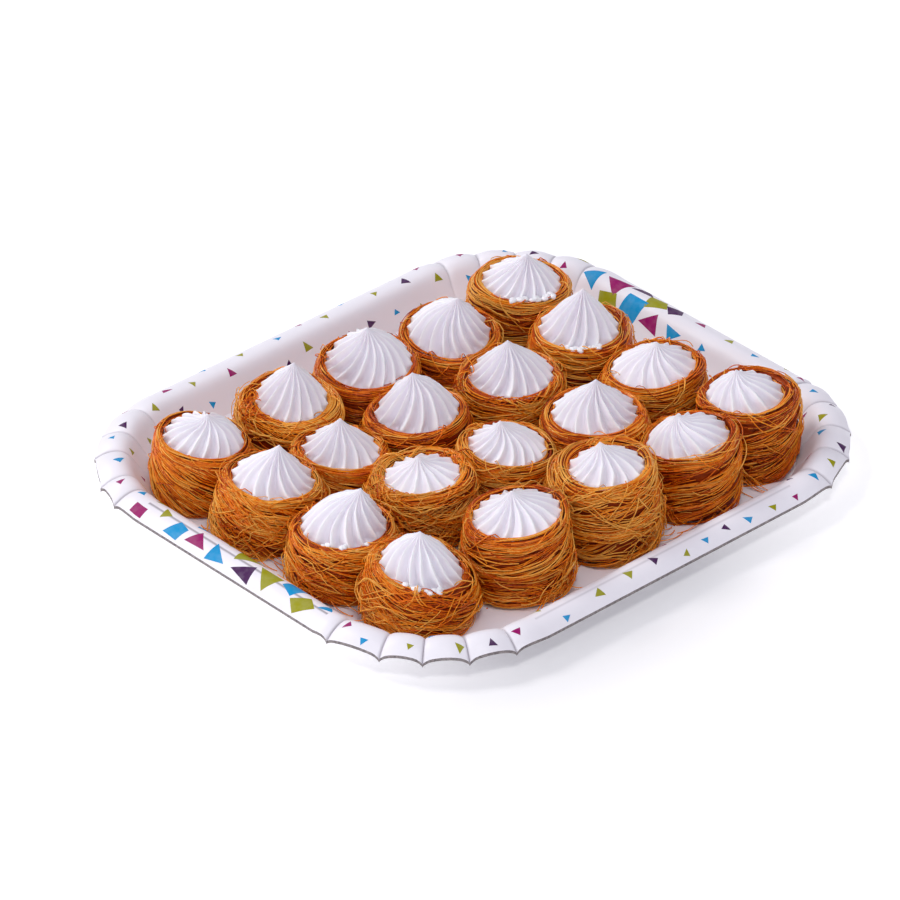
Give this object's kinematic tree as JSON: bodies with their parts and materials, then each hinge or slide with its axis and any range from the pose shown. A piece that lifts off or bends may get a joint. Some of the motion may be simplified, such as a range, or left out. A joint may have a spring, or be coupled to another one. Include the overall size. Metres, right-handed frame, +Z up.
{
  "type": "cream kunafa tray",
  "caption": "Party tray of rolled-rim board filled with rows of round wound kunafa pastry nests, each topped with a piped swirl of cream.",
  "frame": {"origin": "middle of the tray's underside, on the surface it stands on", "axes": "+X along the tray's long side, +Y along its short side, +Z up; in the picture the near corner is at -X -Y"},
  "size_m": [0.3, 0.2634, 0.0526],
  "materials": {
    "board": "glossy coated white board with small printed confetti shapes on the rim",
    "pastry": "syrup-glossed golden brown strands of fried pastry",
    "cream": "soft satin whipped cream"
  },
  "bodies": {
    "root": {"tray": "board", "nest_a1": "pastry", "nest_a2": "pastry", "nest_a3": "pastry", "nest_a4": "pastry", "nest_a5": "pastry", "nest_b1": "pastry", "nest_b2": "pastry", "nest_b3": "pastry", "nest_b4": "pastry", "nest_b5": "pastry", "nest_c1": "pastry", "nest_c2": "pastry", "nest_c3": "pastry", "nest_c4": "pastry", "nest_c5": "pastry", "nest_d1": "pastry", "nest_d2": "pastry", "nest_d3": "pastry", "nest_d4": "pastry", "nest_d5": "pastry", "cream_a1": "cream", "cream_a2": "cream", "cream_a3": "cream", "cream_a4": "cream", "cream_a5": "cream", "cream_b1": "cream", "cream_b2": "cream", "cream_b3": "cream", "cream_b4": "cream", "cream_b5": "cream", "cream_c1": "cream", "cream_c2": "cream", "cream_c3": "cream", "cream_c4": "cream", "cream_c5": "cream", "cream_d1": "cream", "cream_d2": "cream", "cream_d3": "cream", "cream_d4": "cream", "cream_d5": "cream"}
  },
  "joints": []
}
